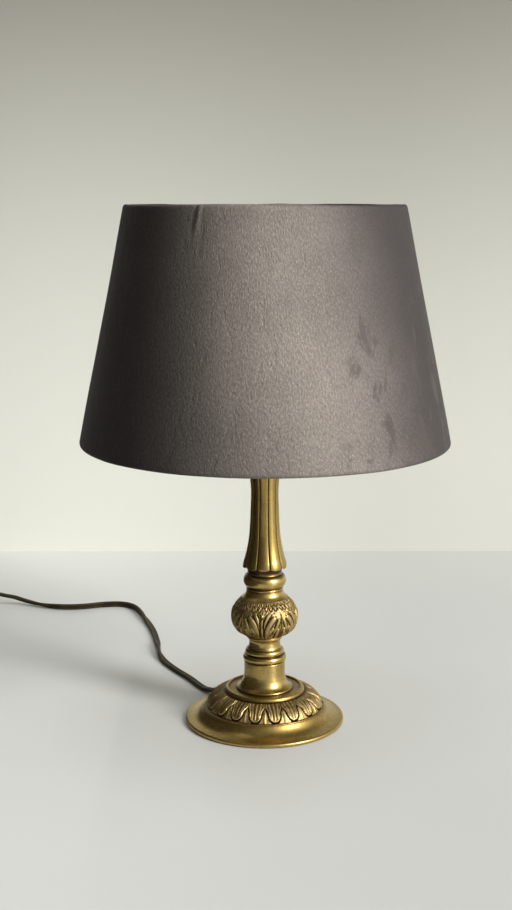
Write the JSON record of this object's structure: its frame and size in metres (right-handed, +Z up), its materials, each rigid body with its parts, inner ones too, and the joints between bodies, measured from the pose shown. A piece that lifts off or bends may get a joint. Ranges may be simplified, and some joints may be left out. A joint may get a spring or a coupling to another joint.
{
  "type": "table lamp",
  "caption": "Brass candlestick table lamp: leaf-band foot, leaf knop and fluted stem, velvet cone shade, candle bulb, flat cord with in-line rocker switch and plug.",
  "frame": {"origin": "centre of the foot's underside, on the table", "axes": "+Z up along the column, -Y towards the front of the picture, cord leaves at the back left"},
  "size_m": [0.4737, 0.414, 0.3569],
  "materials": {
    "aged_brass": "satin, patinated",
    "green_felt": "felt",
    "steel": "zinc plated",
    "black_bakelite": "moulded",
    "contact_brass": "bright",
    "nickel": "nickel plated",
    "bulb_glass": "clear",
    "filament": "phosphor coated",
    "velvet": "short pile velvet",
    "shade_lining": "satin sheet",
    "white_wire": "white lacquer",
    "cord_sheath": "flat twin cord",
    "gold_plastic": "moulded",
    "black_nylon": "moulded",
    "tie_fabric": "woven band"
  },
  "bodies": {
    "lamp": {"foot": "aged_brass", "felt_pad": "green_felt", "cord_bushing": "black_nylon", "base_washer": "steel", "base_nut": "steel", "threaded_tube": "steel", "inner_lead": "cord_sheath", "lower_column": "aged_brass", "reeded_collar": "aged_brass", "leaf_knop": "aged_brass", "bead_ring": "aged_brass", "fluted_stem": "aged_brass", "candle_cup": "aged_brass", "holder_cap": "black_bakelite", "holder_body": "black_bakelite", "contact_block": "black_bakelite", "centre_contact": "contact_brass", "screw_shell": "nickel", "cord_to_switch": "cord_sheath", "switch_base": "gold_plastic", "switch_cover": "gold_plastic", "switch_contacts": "contact_brass", "switch_screws": "steel", "cord_to_coil": "cord_sheath", "cord_coil": "cord_sheath", "cord_to_plug": "cord_sheath", "cord_tie": "tie_fabric", "plug_body": "gold_plastic", "plug_pins": "nickel", "pin_sleeves": "black_nylon"},
    "shade": {"shade_cover": "velvet", "shade_liner": "shade_lining", "top_wire_ring": "white_wire", "bottom_wire_ring": "white_wire", "spider_arms": "white_wire", "carrier_ring": "white_wire"},
    "ring_nut": {"shade_nut": "black_bakelite"},
    "bulb": {"bulb_tip": "black_bakelite", "bulb_cap": "nickel", "bulb_glass": "bulb_glass", "filament_stem": "bulb_glass", "filaments": "filament"},
    "rocker": {"switch_rocker": "gold_plastic"}
  },
  "joints": [
    {"name": "shade_turn", "type": "hinge", "parent": "lamp", "child": "shade", "pos_m": [0, 0, 0.2316], "axis": [0, 0, 1], "continuous": true},
    {"name": "ring_nut_turn", "type": "hinge", "parent": "lamp", "child": "ring_nut", "pos_m": [0, 0, 0.2361], "axis": [0, 0, 1], "continuous": true},
    {"name": "bulb_turn", "type": "hinge", "parent": "lamp", "child": "bulb", "pos_m": [0, 0, 0.24], "axis": [0, 0, 1], "continuous": true},
    {"name": "rocker_tilt", "type": "hinge", "parent": "lamp", "child": "rocker", "pos_m": [-0.27, 0.275, 0.0146], "axis": [0, 1, 0], "range_deg": [0, 16]}
  ]
}
